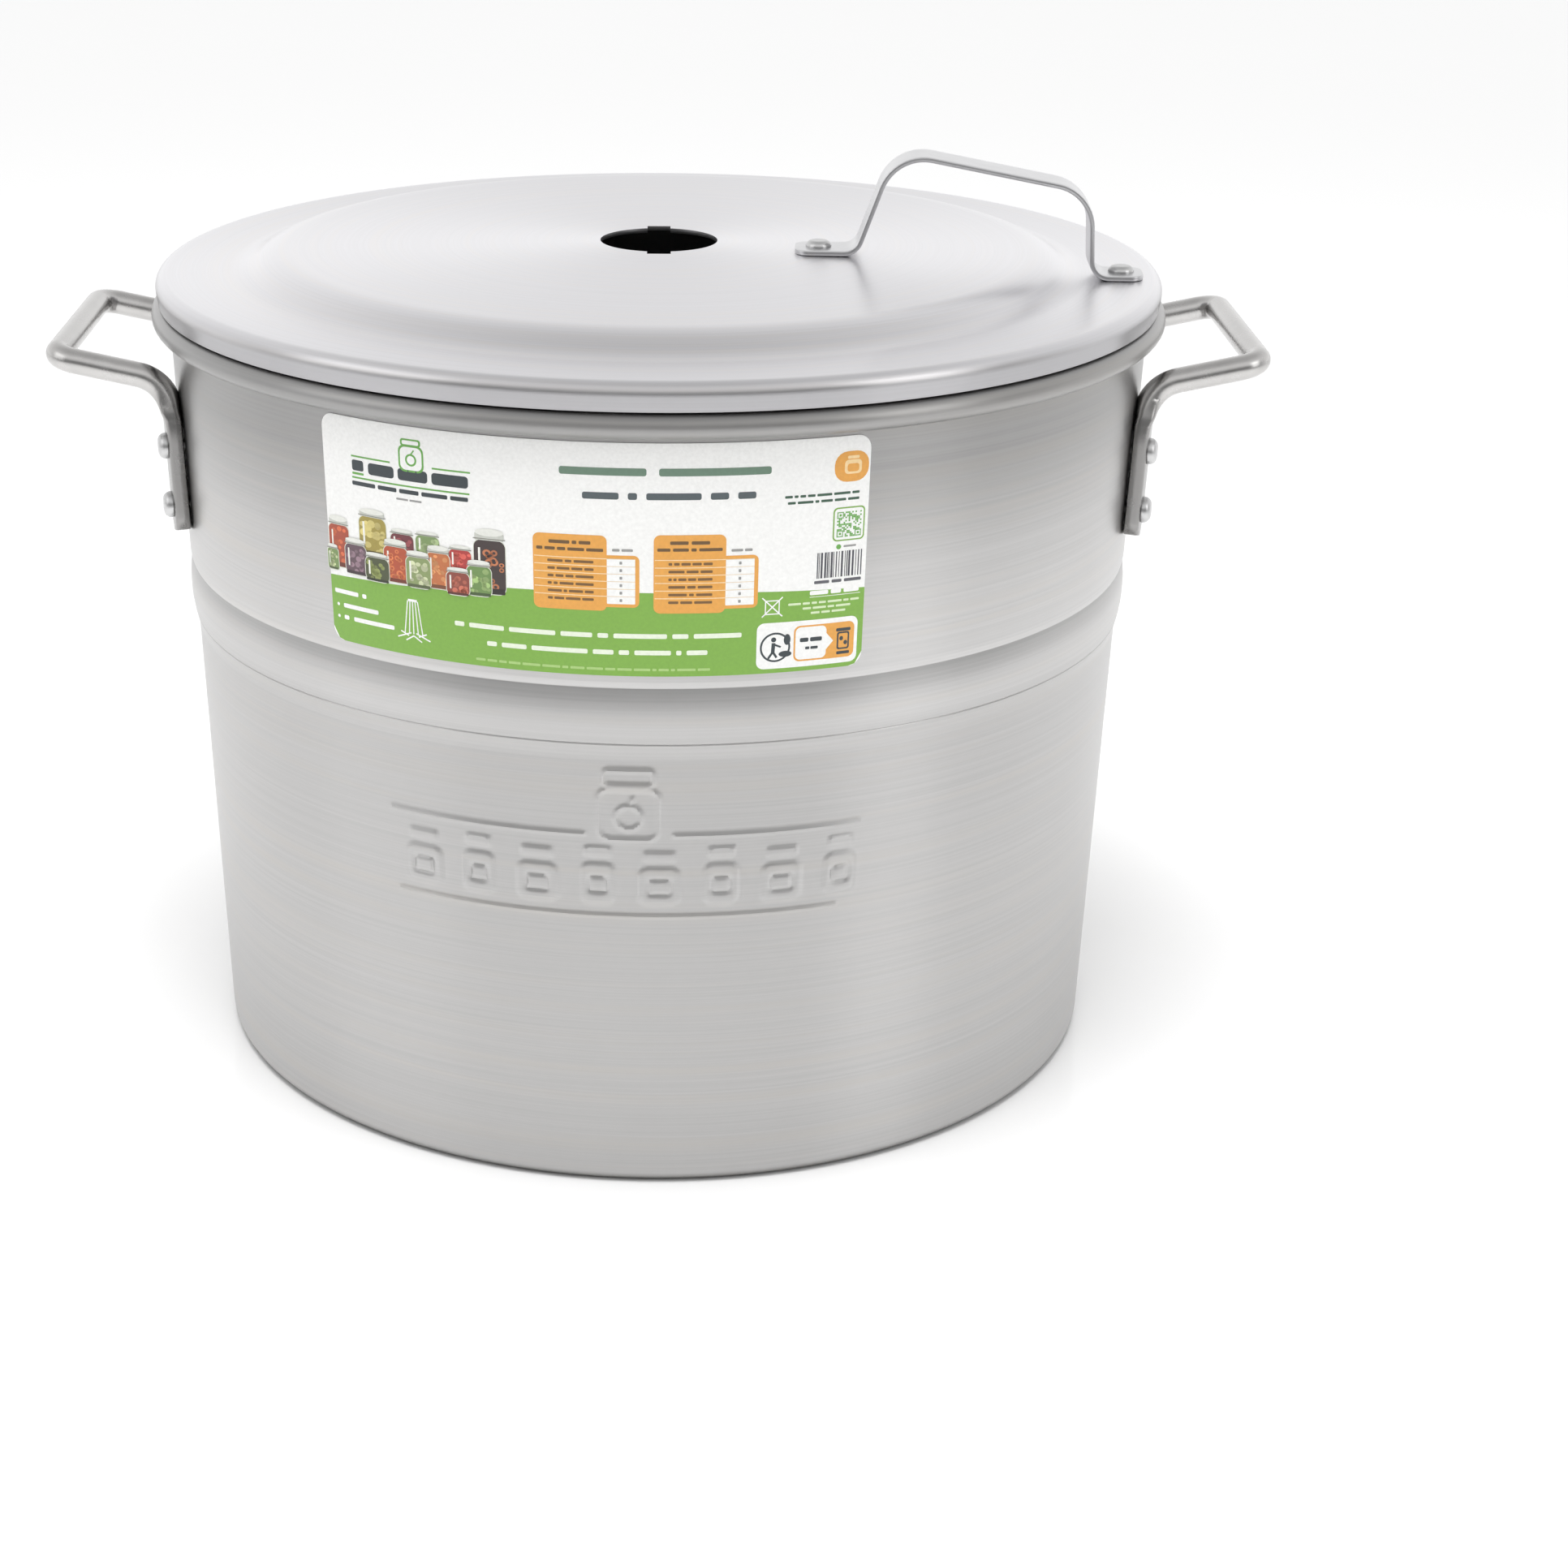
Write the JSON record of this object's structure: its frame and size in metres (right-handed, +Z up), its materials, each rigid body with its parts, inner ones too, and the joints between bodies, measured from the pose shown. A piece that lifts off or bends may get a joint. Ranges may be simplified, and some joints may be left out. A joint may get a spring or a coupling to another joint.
{
  "type": "jar canner",
  "caption": "Tall aluminium water-bath canner for jars: stepped pot, domed lid with strap handle, rod side handles, inner column with sliding jar springs.",
  "frame": {"origin": "centre of the base, on the surface it stands on", "axes": "+Z up through the pot's axis, +X through the right-hand side handle, -Y towards the front label"},
  "size_m": [0.462, 0.39, 0.3521],
  "materials": {
    "pot_aluminium": "spun satin with fine turning lines",
    "lid_aluminium": "spun satin, smoother than the pot",
    "rod_aluminium": "tumbled rod, half bright",
    "strap_aluminium": "satin strip with bright sheared edges",
    "rivet_aluminium": "pressed, slightly bright",
    "label_print": "printed film, satin",
    "column_steel": "bright-drawn wire",
    "spring_steel": "rolled spring strip"
  },
  "bodies": {
    "pot": {"pot_body": "pot_aluminium", "side_handle_right": "rod_aluminium", "side_handle_left": "rod_aluminium", "side_handle_rivets_right": "rivet_aluminium", "side_handle_rivets_left": "rivet_aluminium", "label": "label_print"},
    "lid": {"lid": "lid_aluminium", "lid_handle": "strap_aluminium", "lid_handle_rivets": "rivet_aluminium"},
    "column": {"column_base_ring": "column_steel", "column_top_ring": "column_steel", "column_rail_1": "column_steel", "column_rail_2": "column_steel", "column_rail_3": "column_steel", "column_rail_4": "column_steel", "column_rail_5": "column_steel", "column_rail_6": "column_steel"},
    "slider_1": {"spring_1": "spring_steel"},
    "slider_2": {"spring_2": "spring_steel"},
    "slider_3": {"spring_3": "spring_steel"},
    "slider_4": {"spring_4": "spring_steel"},
    "slider_5": {"spring_5": "spring_steel"},
    "slider_6": {"spring_6": "spring_steel"}
  },
  "joints": [
    {"name": "lid_lift", "type": "slide", "parent": "pot", "child": "lid", "axis": [0, 0, 1], "range_m": [0, 0.3]},
    {"name": "column_lift", "type": "slide", "parent": "pot", "child": "column", "axis": [0, 0, 1], "range_m": [0, 0.05]},
    {"name": "spring_1_slide", "type": "slide", "parent": "column", "child": "slider_1", "axis": [-0.0407, -0.0235, 0.9989], "range_m": [0, 0.222]},
    {"name": "spring_2_slide", "type": "slide", "parent": "column", "child": "slider_2", "axis": [0, -0.047, 0.9989], "range_m": [0, 0.222]},
    {"name": "spring_3_slide", "type": "slide", "parent": "column", "child": "slider_3", "axis": [0.0407, -0.0235, 0.9989], "range_m": [0, 0.222]},
    {"name": "spring_4_slide", "type": "slide", "parent": "column", "child": "slider_4", "axis": [0.0407, 0.0235, 0.9989], "range_m": [0, 0.222]},
    {"name": "spring_5_slide", "type": "slide", "parent": "column", "child": "slider_5", "axis": [0, 0.047, 0.9989], "range_m": [0, 0.222]},
    {"name": "spring_6_slide", "type": "slide", "parent": "column", "child": "slider_6", "axis": [-0.0407, 0.0235, 0.9989], "range_m": [0, 0.222]}
  ]
}
